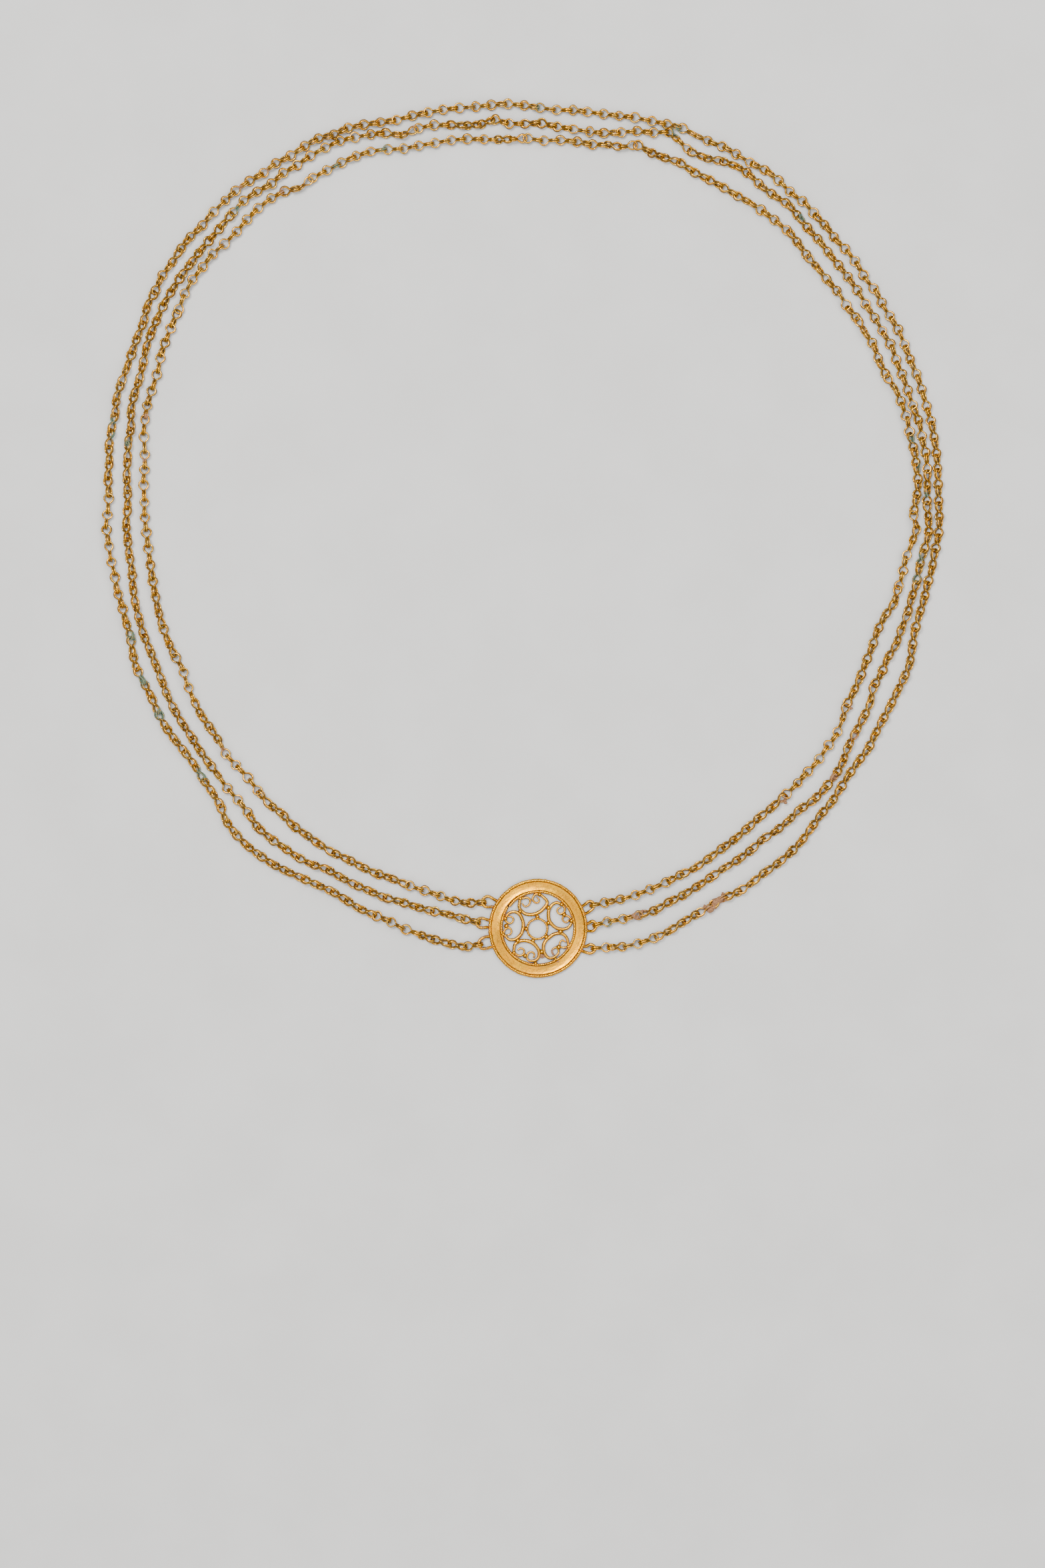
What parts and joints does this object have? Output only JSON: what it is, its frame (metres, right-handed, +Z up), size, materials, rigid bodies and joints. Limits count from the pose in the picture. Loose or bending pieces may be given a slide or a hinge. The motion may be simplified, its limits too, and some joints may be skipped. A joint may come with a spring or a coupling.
{
  "type": "medallion necklace",
  "caption": "Necklace of loop-in-loop chain strands joined to a round openwork medallion of scrolls and granules",
  "frame": {"origin": "middle of the necklace's outline, on the surface that it lies on", "axes": "+X to the wearer's left, the right of the picture, +Y from the medallion to the back of the neck, +Z up out of the medallion's face"},
  "size_m": [0.144, 0.1506, 0.0016],
  "materials": {
    "medallion_gold": "worn satin gold",
    "chain_gold": "polished gold wire with brown and green patina in the recesses"
  },
  "bodies": {
    "root": {"medallion": "medallion_gold", "outer_strand": "chain_gold", "middle_strand": "chain_gold", "inner_strand": "chain_gold", "outer_right_link_1": "chain_gold", "outer_right_link_2": "chain_gold", "outer_left_link_1": "chain_gold", "outer_left_link_2": "chain_gold", "middle_right_link_1": "chain_gold", "middle_right_link_2": "chain_gold", "middle_left_link_1": "chain_gold", "middle_left_link_2": "chain_gold", "inner_right_link_1": "chain_gold", "inner_right_link_2": "chain_gold", "inner_left_link_1": "chain_gold", "inner_left_link_2": "chain_gold"}
  },
  "joints": []
}
